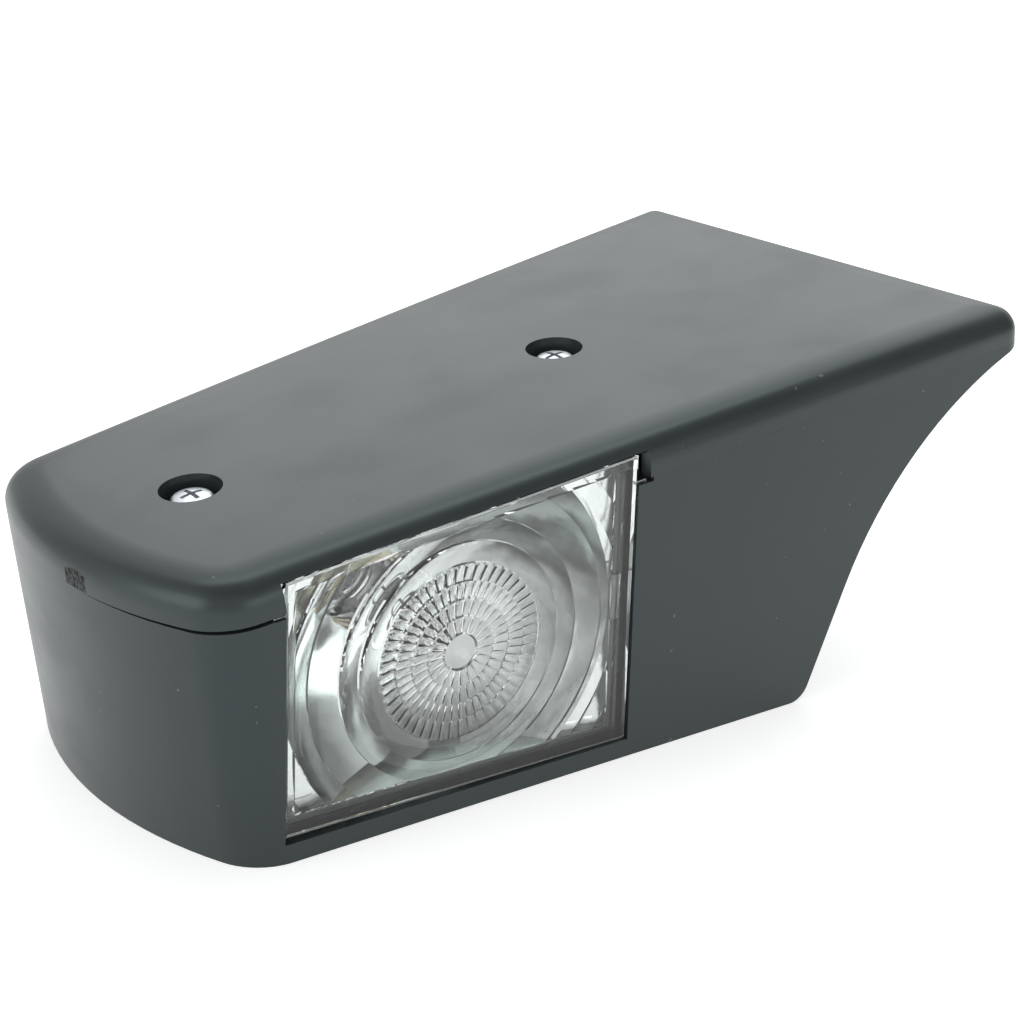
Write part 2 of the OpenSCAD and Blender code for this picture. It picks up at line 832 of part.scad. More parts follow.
module bulb_cap() {
    color("#d9c58f") optic() {
        translate([0, 0, cap_front]) difference() {
            cylinder(r = cap_r, h = cap_l);
            translate([0, 0, -over]) cylinder(r = cap_r - cap_t, h = cap_l - cap_t + over);
            cylinder(r = cap_r - cap_lip, h = cap_l + over);
        }
        for (side = [0, 180]) rotate([0, 0, side]) translate([cap_r - cap_t, 0, pin_d])
            rotate([0, 90, 0]) cylinder(r = pin_r, h = pin_out + cap_t);
    }
}

module bulb_insulator() {
    color("#15171a") optic() translate([0, 0, cap_end]) {
        cylinder(r1 = cap_r - bead_in, r2 = contact_r + bead_tip, h = bead_l);
        translate([0, 0, -cap_t - bead_plug])
            cylinder(r = cap_r - cap_lip - press, h = cap_t + bead_plug);
    }
}

module bulb_contact() {
    color("#b8bcc0") optic() translate([0, 0, cap_end + bead_l])
        cylinder(r = contact_r, h = contact_h);
}

// Screws and small metal pieces

// Domed pan head with a cross recess
module pan_screw(x) {
    flat = head_d / 2 - head_edge;
    drop = head_dome - sqrt(head_dome * head_dome - flat * flat);
    color("#c3c7c9") joint() translate([x, 0, seat_h + washer_t]) difference() {
        union() {
            rotate_extrude() polygon(concat(
                [[0, 0], [head_d / 2, 0], [head_d / 2, head_h - drop - head_edge]],
                [for (i = [0:head_steps]) let (r = flat * (1 - i / head_steps))
                    [r, head_h - head_dome + sqrt(head_dome * head_dome - r * r)]]));
            translate([0, 0, -screw_l]) cylinder(d = screw_d, h = screw_l + over);
        }
        for (turn = [0, 90]) rotate([0, 0, turn])
            translate([-recess_l / 2, -recess_w / 2, head_h - recess_h])
                cube([recess_l, recess_w, recess_h + over]);
    }
}

module nose_screw() {
    pan_screw(nose_screw_x);
}

module tail_screw() {
    pan_screw(tail_screw_x);
}

module washer(x) {
    color("#b4b9bc") joint() translate([x, 0, seat_h]) difference() {
        cylinder(d = washer_d, h = washer_t);
        translate([0, 0, -over]) cylinder(d = screw_d + washer_gap, h = washer_t + 2 * over);
    }
}

module nose_washer() {
    washer(nose_screw_x);
}

module tail_washer() {
    washer(tail_screw_x);
}

module insert(x) {
    color("#b08d4a") joint() translate([x, 0, -insert_l]) difference() {
        cylinder(d = insert_d, h = insert_l);
        translate([0, 0, -over]) cylinder(d = insert_bore, h = insert_l + 2 * over);
    }
}

module nose_insert() {
    insert(nose_screw_x);
}

module tail_insert() {
    insert(tail_screw_x);
}

module sleeve(x) {
    color("#aeb3b6") translate([x, mount_y, 0]) difference() {
        cylinder(d = mount_d + 2 * sleeve_wall, h = sleeve_h);
        translate([0, 0, -over]) cylinder(d = mount_d, h = sleeve_h + 2 * over);
    }
}

module nose_sleeve() {
    sleeve(nose_mount_x);
}

module tail_sleeve() {
    sleeve(tail_mount_x);
}

module cable_grommet() {
    lower_d = inlet_recess_d - 2 * fit;
    color("#18191a") translate([inlet_x, inlet_y, 0]) difference() {
        union() {
            translate([0, 0, fit]) cylinder(d = lower_d, h = inlet_recess_h - fit);
            translate([0, 0, fit]) cylinder(d = inlet_d - 2 * press, h = floor_t + grommet_h);
            translate([0, 0, floor_t]) cylinder(d = lower_d, h = grommet_h + fit);
        }
        translate([0, 0, -over]) cylinder(d = cable_d, h = floor_t + grommet_h + 3 * over);
    }
}

housing();
top_cover();
cover_gasket();
lens();
lens_gasket();
reflector();
holder_shell();
holder_insulator();
contact_plunger();
contact_spring();
live_terminal();
earth_terminal();
bulb_glass();
bulb_filament();
bulb_cap();
bulb_insulator();
bulb_contact();
nose_screw();
tail_screw();
nose_washer();
tail_washer();
nose_insert();
tail_insert();
nose_sleeve();
tail_sleeve();
cable_grommet();
base_gasket();
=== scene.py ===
import math

import bpy
from mathutils import Matrix, Vector


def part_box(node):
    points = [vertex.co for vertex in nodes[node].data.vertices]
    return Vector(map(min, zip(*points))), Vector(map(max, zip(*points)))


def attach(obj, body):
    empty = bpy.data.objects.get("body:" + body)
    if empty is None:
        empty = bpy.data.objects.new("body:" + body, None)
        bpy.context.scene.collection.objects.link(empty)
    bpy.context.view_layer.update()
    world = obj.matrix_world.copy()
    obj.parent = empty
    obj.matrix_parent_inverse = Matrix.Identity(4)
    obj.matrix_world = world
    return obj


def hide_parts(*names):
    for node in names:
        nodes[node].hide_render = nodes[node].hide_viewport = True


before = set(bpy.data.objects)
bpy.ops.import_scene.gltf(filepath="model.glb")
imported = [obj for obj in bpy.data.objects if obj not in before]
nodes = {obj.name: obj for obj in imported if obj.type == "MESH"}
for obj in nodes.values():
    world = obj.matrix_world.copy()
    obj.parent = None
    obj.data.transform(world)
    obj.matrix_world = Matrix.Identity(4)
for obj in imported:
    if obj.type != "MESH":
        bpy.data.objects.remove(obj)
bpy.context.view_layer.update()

scene = bpy.context.scene

# Studio: a soft, pale studio. The camera stands in front of the nose corner, a little
# above the light, and looks down on it. The floor is a pale sheet that keeps the shadow.
look_azimuth, look_elevation, look_roll = 41.74, 21.55, 2.53
look_from = Vector((-0.2536, -0.2905, 0.1893))
look_lens = 69.43

scene.view_settings.view_transform = "Standard"


def direction(azimuth, elevation):
    a, e = math.radians(azimuth), math.radians(elevation)
    return Vector((math.sin(a) * math.cos(e), math.cos(a) * math.cos(e), math.sin(e)))


ahead = direction(look_azimuth, -look_elevation)
side = direction(look_azimuth + 90, 0)
up = side.cross(ahead)
turn = math.radians(look_roll)
side, up = side * math.cos(turn) + up * math.sin(turn), up * math.cos(turn) - side * math.sin(turn)
camera = bpy.data.objects.new("camera", bpy.data.cameras.new("camera"))
scene.collection.objects.link(camera)
camera.data.sensor_width = 36
camera.data.lens = look_lens
camera.data.clip_start = 0.01
camera.matrix_world = Matrix.Translation(look_from) @ Matrix((side, up, -ahead)).transposed().to_4x4()
scene.camera = camera


def softbox(name, azimuth, elevation, distance, width, height, brightness):
    aim = Vector((0, 0, 0.04))
    lamp = bpy.data.objects.new(name, bpy.data.lights.new(name, "AREA"))
    lamp.data.shape = "RECTANGLE"
    lamp.data.size, lamp.data.size_y = width, height
    lamp.data.energy = brightness * math.pi * width * height
    lamp.data.color = (0.96, 1, 1)
    lamp.location = aim + direction(azimuth, elevation) * distance
    lamp.rotation_mode = "QUATERNION"
    lamp.rotation_quaternion = direction(azimuth, elevation).to_track_quat("Z", "Y")
    scene.collection.objects.link(lamp)


softbox("back softbox", 50, 36, 1.3, 1.5, 0.9, 1.05)
softbox("left softbox", -84, 18, 1.3, 0.9, 0.7, 2.0)
softbox("front softbox", 172, 14, 1.4, 0.8, 0.5, 1.8)
softbox("overhead softbox", 40, 74, 1.1, 1.2, 0.24, 3.0)

world = bpy.data.worlds.new("studio")
scene.world = world
world.use_nodes = True
air = world.node_tree
air.nodes.clear()


def studio_node(kind, **settings):
    made = air.nodes.new(kind)
    for key, value in settings.items():
        setattr(made, key, value)
    return made


ray = studio_node("ShaderNodeLightPath")
seen = studio_node("ShaderNodeMath", operation="ADD", use_clamp=True)
air.links.new(ray.outputs["Is Glossy Ray"], seen.inputs[0])
air.links.new(ray.outputs["Is Transmission Ray"], seen.inputs[1])
heading = studio_node("ShaderNodeTexCoord")
whiter = studio_node("ShaderNodeMath", operation="MULTIPLY")
air.links.new(ray.outputs["Is Camera Ray"], whiter.inputs[0])
whiter.inputs[1].default_value = 1.3
backdrop = whiter.outputs[0]
for toward, start, end, brightness in [
        (direction(40, 20), 0.2, 0.7, 1.0), (direction(205, -5), 0.35, 0.8, 0.9),
        (direction(-70, 0), 0.3, 0.8, 0.9), (direction(0, 90), -1.0, -0.9, 0.2)]:
    facing = studio_node("ShaderNodeVectorMath", operation="DOT_PRODUCT")
    air.links.new(heading.outputs["Generated"], facing.inputs[0])
    facing.inputs[1].default_value = toward
    fade = studio_node("ShaderNodeMapRange", interpolation_type="SMOOTHSTEP")
    air.links.new(facing.outputs["Value"], fade.inputs["Value"])
    fade.inputs["From Min"].default_value = start
    fade.inputs["From Max"].default_value = end
    fade.inputs["To Max"].default_value = brightness
    brighter = studio_node("ShaderNodeMath", operation="MAXIMUM")
    air.links.new(fade.outputs["Result"], brighter.inputs[0])
    air.links.new(backdrop, brighter.inputs[1])
    backdrop = brighter.outputs[0]
pale = studio_node("ShaderNodeBackground")
air.links.new(backdrop, pale.inputs["Strength"])
soft = studio_node("ShaderNodeBackground")
soft.inputs["Strength"].default_value = 0.55
either = studio_node("ShaderNodeMath", operation="MAXIMUM")
air.links.new(seen.outputs[0], either.inputs[0])
air.links.new(ray.outputs["Is Camera Ray"], either.inputs[1])
choose = studio_node("ShaderNodeMixShader")
air.links.new(either.outputs[0], choose.inputs[0])
air.links.new(soft.outputs[0], choose.inputs[1])
air.links.new(pale.outputs[0], choose.inputs[2])
air.links.new(choose.outputs[0], studio_node("ShaderNodeOutputWorld").inputs[0])


class Value:
    """One output of a material's node. Arithmetic on it adds Math nodes."""

    def __init__(self, finish, socket):
        self.finish, self.socket = finish, socket

    def math(self, operation, first, second=0.0):
        return self.finish.node("ShaderNodeMath", {"operation": operation}, {0: first, 1: second})

    def __add__(self, other):
        return self.math("ADD", self, other)

    def __radd__(self, other):
        return self.math("ADD", other, self)

    def __sub__(self, other):
        return self.math("SUBTRACT", self, other)

    def __rsub__(self, other):
        return self.math("SUBTRACT", other, self)

    def __mul__(self, other):
        return self.math("MULTIPLY", self, other)

    def __rmul__(self, other):
        return self.math("MULTIPLY", other, self)


class Finish:
    """A material made of nodes round one Principled shader."""

    def __init__(self, name, **fixed):
        self.material = bpy.data.materials.new(name)
        self.material.use_nodes = True
        self.tree = self.material.node_tree
        self.shader = self.tree.nodes["Principled BSDF"]
        for key, value in fixed.items():
            self.shader.inputs[key.replace("_", " ").title().replace("Ior", "IOR")].default_value = value
        self.place = self.node("ShaderNodeTexCoord", {}, {}, "Object")

    def node(self, kind, settings, values, out=0):
        made = self.tree.nodes.new(kind)
        stops = settings.pop("stops", None)
        for key, value in settings.items():
            setattr(made, key, value)
        if stops:
            for element, (at, colour) in zip(made.color_ramp.elements, stops):
                element.position, element.color = at, colour
        for key, value in values.items():
            self.feed(made.inputs[key], value)
        return Value(self, made.outputs[out])

    def feed(self, socket, value):
        if isinstance(value, Value):
            self.tree.links.new(value.socket, socket)
        else:
            socket.default_value = value

    def set(self, **inputs):
        for key, value in inputs.items():
            self.feed(self.shader.inputs[key.replace("_", " ").title()], value)

    def clouds(self, size, detail=2.0, stretch=(1, 1, 1)):
        """Noise whose features are about size metres across, drawn out by stretch."""
        scaled = self.node("ShaderNodeMapping", {}, {"Vector": self.place, "Scale": [1 / s for s in stretch]})
        return self.node("ShaderNodeTexNoise", {}, {"Vector": scaled, "Scale": 1 / size, "Detail": detail})

    def step(self, value, low, high):
        """0 below low, 1 above high, soft between."""
        return self.node("ShaderNodeMapRange", {"interpolation_type": "SMOOTHSTEP"},
                         {"Value": value, "From Min": low, "From Max": high})

    def tint(self, factor, first, second):
        return self.node("ShaderNodeMix", {"data_type": "RGBA"}, {0: factor, 6: first, 7: second}, 2)

    def bump(self, height, depth, strength=1.0, over=None):
        values = {"Height": height, "Distance": depth, "Strength": strength}
        if over is not None:
            values["Normal"] = over
        return self.node("ShaderNodeBump", {}, values)


floor_paint = Finish("floor", roughness=0.9)
floor_glow = floor_paint.node("ShaderNodeLightPath", {}, {}, "Is Camera Ray")
floor_paint.set(base_color=(0.86, 0.86, 0.86, 1))
rays = floor_glow.socket.node
glow = floor_paint.node("ShaderNodeMath", {"operation": "MAXIMUM"}, {
    0: Value(floor_paint, rays.outputs["Is Glossy Ray"]),
    1: Value(floor_paint, rays.outputs["Is Transmission Ray"])})
glow = floor_paint.node("ShaderNodeMath", {"operation": "MAXIMUM"}, {0: glow, 1: floor_glow})
shine = floor_paint.node("ShaderNodeEmission", {}, {"Color": (1, 1, 1, 1), "Strength": 0.6})
lit = floor_paint.node("ShaderNodeAddShader", {}, {0: Value(floor_paint, floor_paint.shader.outputs[0]), 1: shine})
mixed = floor_paint.node("ShaderNodeMixShader", {}, {
    0: glow, 1: Value(floor_paint, floor_paint.shader.outputs[0]), 2: lit})
floor_paint.tree.links.new(mixed.socket, floor_paint.tree.nodes["Material Output"].inputs["Surface"])
bpy.ops.object.select_all(action="DESELECT")
bpy.ops.mesh.primitive_plane_add(size=6)
floor = bpy.context.object
floor.name = "floor"
floor.data.materials.append(floor_paint.material)


def paint(name, finish):
    piece = nodes[name] if name in nodes else bpy.data.objects[name]
    piece.data.materials.clear()
    piece.data.materials.append(finish.material)


def smooth_skin(node, name, angle):
    """Stands a welded, smoothly shaded copy of a CAD node in its place."""
    bpy.ops.object.select_all(action="DESELECT")
    skin = bpy.data.objects.new(name, nodes[node].data.copy())
    scene.collection.objects.link(skin)
    skin.select_set(True)
    bpy.context.view_layer.objects.active = skin
    bpy.ops.object.mode_set(mode="EDIT")
    bpy.ops.mesh.select_all(action="SELECT")
    bpy.ops.mesh.remove_doubles(threshold=1e-6)
    bpy.ops.object.mode_set(mode="OBJECT")
    bpy.ops.mesh.customdata_custom_splitnormals_clear()
    bpy.ops.object.shade_smooth_by_angle(angle=math.radians(angle))
    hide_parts(node)
    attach(skin, "root")
    return skin


# Housing: the hollow lower body with its window and base, one injection moulding in
# black plastic with a satin skin. It stands on the roof and carries everything else.
joint_height, joint_slope = 0.0597, math.radians(7.4)
wall_turn = math.radians(5.4)
wall_climb = math.atan(math.cos(wall_turn) * math.tan(joint_slope))
wall = (Matrix.Translation((0.000143, 0, joint_height)) @ Matrix.Rotation(-joint_slope, 4, "Y")
        @ Matrix.Translation((0, -0.0473, 0)) @ Matrix.Rotation(-wall_turn, 4, "Z")
        @ Matrix.Rotation(math.radians(90), 4, "X") @ Matrix.Rotation(-wall_climb, 4, "Z")
        @ Matrix.Translation((0, -joint_height, 0)))


def nudge(piece, frame_of, low, high, way):
    """Moves the points of a piece that lie between low and high in another frame."""
    bpy.ops.object.select_all(action="DESELECT")
    bpy.context.view_layer.objects.active = piece
    piece.select_set(True)
    there = frame_of.inverted()
    for vertex in piece.data.vertices:
        place = there @ vertex.co
        vertex.select = all(a <= x <= b for a, x, b in zip(low, place, high))
    for part in [*piece.data.edges, *piece.data.polygons]:
        part.select = all(piece.data.vertices[i].select for i in part.vertices)
    bpy.ops.object.mode_set(mode="EDIT")
    bpy.ops.mesh.select_mode(type="VERT")
    bpy.ops.transform.translate(value=frame_of.to_3x3() @ Vector(way))
    bpy.ops.object.mode_set(mode="OBJECT")


def moulded_plastic(name, dark, light, shine, wave):
    """Black plastic: fine grain, slow waves from shrinkage, clouded sheen, a few specks."""
    finish = Finish(name, specular_tint=(0.82, 0.98, 0.98, 1))
    clouds = finish.clouds(0.03, 3)
    streaks = finish.clouds(0.004, 4, (6, 6, 0.6))
    grain = finish.clouds(0.00035, 2)
    specks = finish.step(finish.clouds(0.0013, 0), 0.862, 0.885)
    smudges = finish.step(finish.clouds(0.016, 3, (1.6, 1, 0.7)), 0.42, 0.78)
    finish.set(
        base_color=finish.tint(specks * 0.5, finish.tint(clouds, (*dark, 1), (*light, 1)), (0.25, 0.26, 0.26, 1)),
        roughness=shine + 0.08 * clouds + 0.05 * streaks + 0.05 * smudges + 0.3 * specks,
        normal=finish.bump(grain, 0.00002, 0.6, finish.bump(finish.clouds(0.03, 1, (3, 1, 1)), wave, 0.5)))
    return finish


housing_plastic = moulded_plastic("housing plastic", (0.027, 0.032, 0.034), (0.036, 0.042, 0.044), 0.26, 0.0005)
housing = smooth_skin("housing", "housing_shell", 28)
paint("housing_shell", housing_plastic)
nudge(housing, wall, (-0.0027, 0.0584, -0.0031), (-0.0026, 0.0585, 0.0001), (-0.002, 0, 0))
nudge(housing, wall, (-0.0003, 0.0586, -0.0031), (-0.0001, 0.0598, 0.0001), (-0.0009, 0, 0))

# Base pieces: a foam gasket in the groove of the underside, the rubber grommet of the
# cable inlet, and two zinc-plated steel sleeves that take the roof screws.
rubber = Finish("black rubber", specular_ior_level=0.4)
rubber_pores = rubber.clouds(0.0005, 3)
rubber.set(
    base_color=rubber.tint(rubber_pores, (0.022, 0.023, 0.024, 1), (0.032, 0.033, 0.034, 1)),
    roughness=0.62 + 0.2 * rubber_pores,
    normal=rubber.bump(rubber_pores, 0.00003, 0.5))
for seal in ["base_gasket", "cable_grommet", "lens_gasket", "cover_gasket"]:
    paint(seal, rubber)

zinc = Finish("zinc plate", metallic=1.0)
zinc_clouds = zinc.clouds(0.0015, 4)
zinc_scuff = zinc.step(zinc.clouds(0.0004, 3, (4, 1, 1)), 0.55, 0.75)
zinc.set(
    base_color=zinc.tint(zinc_clouds, (0.66, 0.70, 0.74, 1), (0.86, 0.88, 0.90, 1)),
    roughness=0.34 + 0.16 * zinc_clouds + 0.12 * zinc_scuff,
    normal=zinc.bump(zinc_scuff, 0.00002, 0.5))
for plated in ["nose_sleeve", "tail_sleeve", "nose_washer", "tail_washer"]:
    paint(plated, zinc)

# Reflector: a moulded bowl dropped in behind the lens, its front side silvered under
# vacuum, with slow waves in the skin and a faint haze.
silver = Finish("silvered plastic", metallic=1.0)
silver_waves = silver.clouds(0.009, 2)
silver_haze = silver.clouds(0.0012, 3)
silver.set(
    base_color=silver.tint(silver_haze, (0.74, 0.79, 0.775, 1), (0.84, 0.88, 0.865, 1)),
    roughness=0.10 + 0.08 * silver_haze,
    normal=silver.bump(silver_waves, 0.0004, 0.5))
smooth_skin("reflector", "silvered_bowl", 35)
paint("silvered_bowl", silver)

# Bulb holder: a bayonet shell of plated brass held in the bowl's collar, with a brown
# laminate disc, a sprung centre contact and two flat terminals.
plated = Finish("plated brass", metallic=1.0)
plated_clouds = plated.clouds(0.002, 3)
plated.set(
    base_color=plated.tint(plated_clouds, (0.60, 0.54, 0.38, 1), (0.76, 0.71, 0.55, 1)),
    roughness=0.20 + 0.15 * plated_clouds,
    normal=plated.bump(plated_clouds, 0.00003, 0.4))
for brass_piece in ["contact_plunger", "live_terminal", "earth_terminal"]:
    paint(brass_piece, plated)
smooth_skin("holder_shell", "bayonet_shell", 30)
paint("bayonet_shell", plated)

laminate = Finish("paper laminate", roughness=0.5)
laminate_fibres = laminate.clouds(0.0006, 4, (1, 5, 1))
laminate.set(
    base_color=laminate.tint(laminate_fibres, (0.14, 0.065, 0.03, 1), (0.26, 0.13, 0.06, 1)),
    normal=laminate.bump(laminate_fibres, 0.00003, 0.4))
paint("holder_insulator", laminate)

spring_wire = Finish("spring wire", metallic=1.0)
wire_lines = spring_wire.clouds(0.0003, 2)
spring_wire.set(
    base_color=spring_wire.tint(wire_lines, (0.42, 0.43, 0.45, 1), (0.60, 0.61, 0.62, 1)),
    roughness=0.22 + 0.15 * wire_lines)
paint("contact_spring", spring_wire)

# Bulb: a clear blown glass envelope cemented in a plated bayonet cap, with a coil of
# tungsten wire, black glass in the cap's end and a solder dome on it.
bulb_glass = Finish("bulb glass", transmission_weight=1.0, ior=1.5, base_color=(0.97, 0.98, 0.98, 1))
bulb_film = bulb_glass.clouds(0.004, 2)
bulb_glass.set(roughness=0.01 + 0.02 * bulb_film, normal=bulb_glass.bump(bulb_film, 0.0001, 0.3))
smooth_skin("bulb_glass", "bulb_envelope", 40)
paint("bulb_envelope", bulb_glass)
smooth_skin("bulb_cap", "bayonet_cap", 30)
paint("bayonet_cap", plated)

tungsten = Finish("tungsten wire", metallic=1.0)
tungsten_lines = tungsten.clouds(0.0002, 2)
tungsten.set(
    base_color=tungsten.tint(tungsten_lines, (0.22, 0.22, 0.23, 1), (0.38, 0.38, 0.38, 1)),
    roughness=0.3 + 0.2 * tungsten_lines)
paint("bulb_filament", tungsten)

cap_glass = Finish("black cap glass", roughness=0.12)
cap_swirl = cap_glass.clouds(0.002, 3)
cap_glass.set(
    base_color=cap_glass.tint(cap_swirl, (0.012, 0.012, 0.016, 1), (0.03, 0.03, 0.036, 1)),
    normal=cap_glass.bump(cap_swirl, 0.0001, 0.3))
paint("bulb_insulator", cap_glass)

solder = Finish("solder", metallic=1.0)
solder_grain = solder.clouds(0.0007, 3)
solder.set(
    base_color=solder.tint(solder_grain, (0.48, 0.48, 0.49, 1), (0.66, 0.66, 0.66, 1)),
    roughness=0.32 + 0.25 * solder_grain,
    normal=solder.bump(solder_grain, 0.00008, 0.5))
paint("bulb_contact", solder)

# Lens: one moulding in clear plastic, slid down into the window from above. Its face is
# plain. On its inner side a disc, four rings of fine flutes and five smooth rings are cut
# off straight at a flat border, and a flange round them runs in the housing's grooves.
clear = Finish("clear plastic", transmission_weight=1.0, ior=1.49, base_color=(0.985, 0.99, 0.99, 1))
clear_flow = clear.clouds(0.006, 2, (1, 1, 3))
clear_dust = clear.step(clear.clouds(0.0006, 0), 0.83, 0.88)
clear.set(roughness=0.01 + 0.2 * clear_dust, normal=clear.bump(clear_flow, 0.00004, 0.3))

matt_edge = Finish("matt lens edge", transmission_weight=0.5, ior=1.49)
edge_wear = matt_edge.clouds(0.002, 3)
matt_edge.set(
    base_color=matt_edge.tint(edge_wear, (0.80, 0.84, 0.83, 1), (0.95, 0.97, 0.96, 1)),
    roughness=0.25 + 0.25 * edge_wear)

optic_centre = Vector((-0.04175, 0.0314, 0))
face_z, flange_z, border_z, valley_z, crest_z = -0.0005, -0.0029, -0.0049, -0.00502, -0.0059
corners = [Vector((-0.07985, 0.0050)), Vector((-0.00295, 0.0041)), Vector((-0.00495, 0)), Vector((-0.07985, 0))]
for corner in corners[2:]:
    corner.y = joint_height + corner.x * math.tan(wall_climb) + 0.0051 / math.cos(wall_climb)
sides = []
for first, second in zip(corners, corners[1:] + corners[:1]):
    along = (second - first).normalized()
    sides.append((first, Vector((along.y, -along.x))))


def beyond(place, number):
    """How far a place lies outside one of the four sides of the lens's face."""
    start, outwards = sides[number]
    return (place.xy - start).dot(outwards)


def lead_rim(before, after, z):
    """Extrudes the open rim, which lies before outside the sides, to lie after outside them."""
    bpy.ops.mesh.extrude_region_move()
    bpy.ops.object.mode_set(mode="OBJECT")
    for vertex in bpy.context.object.data.vertices:
        if vertex.select:
            near = [n for n in range(4) if abs(beyond(vertex.co, n) - before[n]) < 5e-6]
            gaps = [after[n] - before[n] for n in near]
            ways = [sides[n][1] for n in near]
            if len(near) == 2:
                lean = ways[0].dot(ways[1])
                gaps = [(gaps[0] - lean * gaps[1]) / (1 - lean * lean), (gaps[1] - lean * gaps[0]) / (1 - lean * lean)]
            vertex.co.xy += sum((way * gap for way, gap in zip(ways, gaps)), Vector((0, 0)))
            vertex.co.z = z
    bpy.ops.object.mode_set(mode="EDIT")


profile = [(0.0, crest_z), (0.0034, crest_z), (0.0037, valley_z)]
rings = [(0.0037, 0.0072, 20), (0.0072, 0.0107, 32), (0.0107, 0.0142, 48), (0.0142, 0.0177, 48),
         (0.0177, 0.0219, 0), (0.0219, 0.0261, 0), (0.0261, 0.0324, 0), (0.0324, 0.0366, 0), (0.0366, 0.0408, 0), (0.0408, 0.046, 0)]
for inner, outer, flutes in rings:
    riser = 0.00012
    profile.append((inner + riser, crest_z))
    for step in range(1, 8):
        share = step / 8
        profile.append((inner + riser + (outer - inner - riser) * share,
                        crest_z + (valley_z - crest_z) * share ** 1.7))
    profile.append((outer, valley_z))
bpy.ops.object.select_all(action="DESELECT")
bpy.ops.mesh.primitive_plane_add(size=0.001, location=optic_centre + Vector((0, 0, crest_z)))
lens = bpy.context.object
lens.name = "lens_panel"
bpy.ops.object.transform_apply()
bpy.ops.object.mode_set(mode="EDIT")
bpy.ops.mesh.select_all(action="SELECT")
bpy.ops.mesh.merge(type="CENTER")
for (radius, z), (next_radius, next_z) in zip(profile, profile[1:]):
    bpy.ops.mesh.extrude_region_move(
        TRANSFORM_OT_translate={"value": (next_radius - radius, 0, next_z - z)})
bpy.ops.mesh.select_all(action="SELECT")
turns = 480
bpy.ops.mesh.spin(steps=turns, angle=math.tau, center=optic_centre, axis=(0, 0, 1))
bpy.ops.mesh.select_all(action="SELECT")
bpy.ops.mesh.remove_doubles(threshold=2e-6)

flute_depth = 0.00031
bpy.ops.object.mode_set(mode="OBJECT")
for vertex in lens.data.vertices:
    arm = vertex.co - optic_centre
    for inner, outer, flutes in rings:
        if flutes and inner + riser / 2 < arm.xy.length < outer - riser / 2:
            place = round(math.atan2(arm.y, arm.x) / math.tau * turns) % (turns // flutes) * flutes / turns
            vertex.co.z += flute_depth * (2 * place - 1) ** 2
bpy.ops.object.mode_set(mode="EDIT")

ring_zone = (-0.0026, -0.0032, -0.0035, -0.0032)
for number, inset in enumerate(ring_zone):
    start, outwards = sides[number]
    bpy.ops.mesh.select_all(action="SELECT")
    bpy.ops.mesh.bisect(plane_co=(*(start + outwards * inset), 0), plane_no=(*outwards, 0),
                        clear_outer=True, threshold=1e-7)
bpy.ops.mesh.select_all(action="SELECT")
bpy.ops.mesh.region_to_loop()
flange_rim, face_rim, front_rim = (0.0014, 0.002, -0.0011, 0.002), (0.0002, 0, 0, 0), (-0.0005, -0.0002, -0.0002, -0.0002)
lead_rim(ring_zone, ring_zone, border_z)
lead_rim(ring_zone, flange_rim, border_z)
lead_rim(flange_rim, flange_rim, flange_z)
lead_rim(flange_rim, face_rim, flange_z)
lead_rim(face_rim, face_rim, face_z - 0.0005)
lead_rim(face_rim, front_rim, face_z)
bpy.ops.mesh.edge_face_add()
bpy.ops.mesh.select_all(action="SELECT")
bpy.ops.mesh.normals_make_consistent(inside=False)
hair = 0.00001
ear_long, ear_high = 0.0025, 0.0007
ear_deep = face_z - flange_z
blocks = [((-0.0060, 0.0346, (border_z - 0.0059) / 2), (0.0022, 0.0096, border_z + 0.0059 - hair), 0)]
for tip in [sides[3][0].x - hair - ear_long / 2, sides[2][0].x + 0.0001 + hair + ear_long / 2]:
    blocks.append(((tip, joint_height + tip * math.tan(wall_climb) - 0.0005, (face_z + flange_z) / 2),
                   (ear_long, ear_high, ear_deep - 0.0004), wall_climb))
for centre, size, tilt in blocks:
    bpy.ops.mesh.primitive_cube_add(size=1, location=centre, rotation=(0, 0, tilt), scale=size)
    bpy.ops.mesh.bevel(offset=0.00018, segments=2)
pin_marks = [(-0.0040, 0.0490), (-0.0039, 0.0195), (-0.0191, 0.0046), (-0.0640, 0.0064), (-0.0645, 0.0533)]
for mark in pin_marks:
    bpy.ops.mesh.primitive_torus_add(major_radius=0.0018, minor_radius=0.00008, major_segments=48,
                                     minor_segments=6, location=(*mark, border_z - 0.00002))
bpy.ops.object.mode_set(mode="OBJECT")
bpy.ops.object.shade_smooth_by_angle(angle=math.radians(17))
lens.data.materials.append(clear.material)
lens.data.materials.append(matt_edge.material)
for face in lens.data.polygons:
    worn = face.normal.z > 0.2 and face.center.z > face_z - 0.00049
    face.material_index = int(worn and max(beyond(face.center, n) for n in range(4)) > -0.0005
                              and abs(face.normal.z) < 0.98)
lens.matrix_world = wall
bpy.ops.object.transform_apply()
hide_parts("lens")
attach(lens, "root")

# Cover: the sloping lid, a black moulding with a finer satin than the housing, held
# down by two sunk screws.
cover_plastic = moulded_plastic("cover plastic", (0.031, 0.036, 0.038), (0.041, 0.047, 0.049), 0.26, 0.0010)
lid = smooth_skin("top_cover", "lid", 24)
paint("lid", cover_plastic)
nudge(lid, wall, (-0.00275, 0.0594, -0.0031), (-0.00095, 0.0649, 0.0001), (-0.0008, 0, 0))

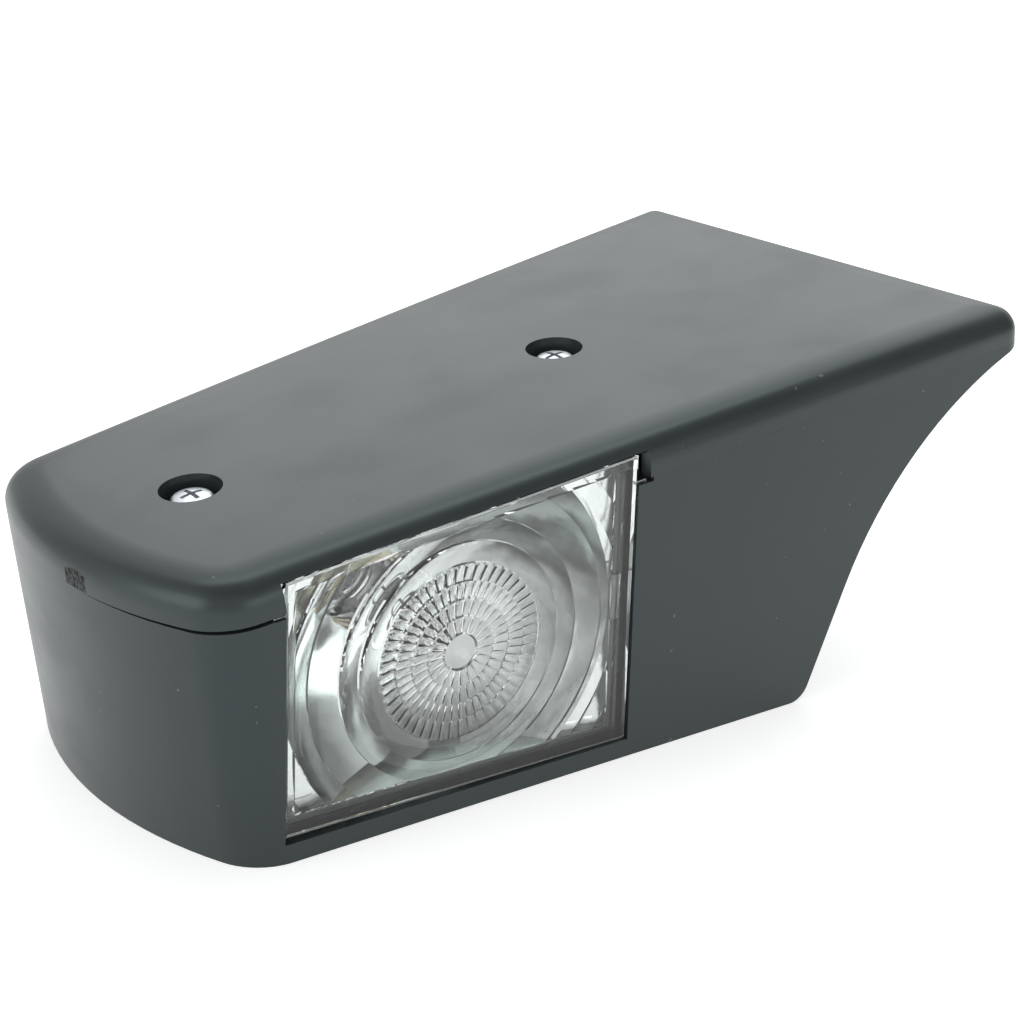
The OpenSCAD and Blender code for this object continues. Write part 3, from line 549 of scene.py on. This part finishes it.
# Gate scar: the place on the cover's nose edge where the moulding's gate was broken off,
# a rough patch of the same plastic that stands a hair proud of the skirt.
torn_plastic = Finish("torn plastic", specular_ior_level=0.15)
tearing = torn_plastic.clouds(0.0004, 4, (1, 1, 2.5))
torn_plastic.set(
    base_color=torn_plastic.tint(torn_plastic.step(tearing, 0.42, 0.6), (0.002, 0.002, 0.002, 1), (0.10, 0.11, 0.11, 1)),
    roughness=0.42 + 0.3 * tearing,
    normal=torn_plastic.bump(tearing, 0.0003, 0.8))
bpy.ops.object.select_all(action="DESELECT")
bpy.ops.mesh.primitive_grid_add(x_subdivisions=24, y_subdivisions=16, size=1,
                                location=(-0.1006, -0.0050, 0.0489), rotation=(0, math.radians(-90), 0))
scar = bpy.context.object
scar.name = "gate_scar"
scar.scale = (0.0041, 0.0062, 1)
bpy.ops.object.transform_apply()
bpy.ops.object.mode_set(mode="EDIT")
bpy.ops.mesh.select_all(action="DESELECT")
bpy.ops.object.mode_set(mode="OBJECT")
for vertex in scar.data.vertices:
    vertex.select = vertex.co.z > 0.0500 + 0.0007 * math.cos((vertex.co.y + 0.0050) / 0.0019)
bpy.ops.object.mode_set(mode="EDIT")
bpy.ops.mesh.delete(type="VERT")
bpy.ops.object.mode_set(mode="OBJECT")
cling = scar.modifiers.new("cling", "SHRINKWRAP")
cling.target, cling.wrap_mode, cling.offset = lid, "ABOVE_SURFACE", 0.000022
bpy.ops.object.modifier_apply(modifier="cling")
bpy.ops.object.mode_set(mode="EDIT")
bpy.ops.mesh.select_all(action="SELECT")
bpy.ops.transform.vertex_random(offset=0.00002, seed=4)
bpy.ops.mesh.normals_make_consistent(inside=False)
bpy.ops.object.mode_set(mode="OBJECT")
depth = scar.modifiers.new("depth", "SOLIDIFY")
depth.thickness = 0.0003
bpy.ops.object.modifier_apply(modifier="depth")
bpy.ops.object.shade_smooth_by_angle(angle=math.radians(40))
scar.data.materials.append(torn_plastic.material)
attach(scar, "root")

# Cover screws: zinc-plated pan heads with a cross recess, on plain washers, driven into
# turned brass inserts in the housing's two posts.
for screw in ["nose_screw", "tail_screw"]:
    head = smooth_skin(screw, screw + "_head", 30)
    paint(screw + "_head", zinc)
    low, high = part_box(screw)
    top = Matrix.Translation(((low[0] + high[0]) / 2, 0, high[2])) @ Matrix.Rotation(-joint_slope, 4, "Y")
    nudge(head, top, (-0.006, -0.006, -0.0018), (0.006, 0.006, 0.004), (0, 0, 0.0013))
brass = Finish("turned brass", metallic=1.0)
turning = brass.clouds(0.0004, 2, (3, 3, 0.3))
brass.set(
    base_color=brass.tint(turning, (0.52, 0.38, 0.14, 1), (0.70, 0.55, 0.24, 1)),
    roughness=0.25 + 0.2 * turning,
    normal=brass.bump(turning, 0.00004, 0.5))
for insert in ["nose_insert", "tail_insert"]:
    paint(insert, brass)
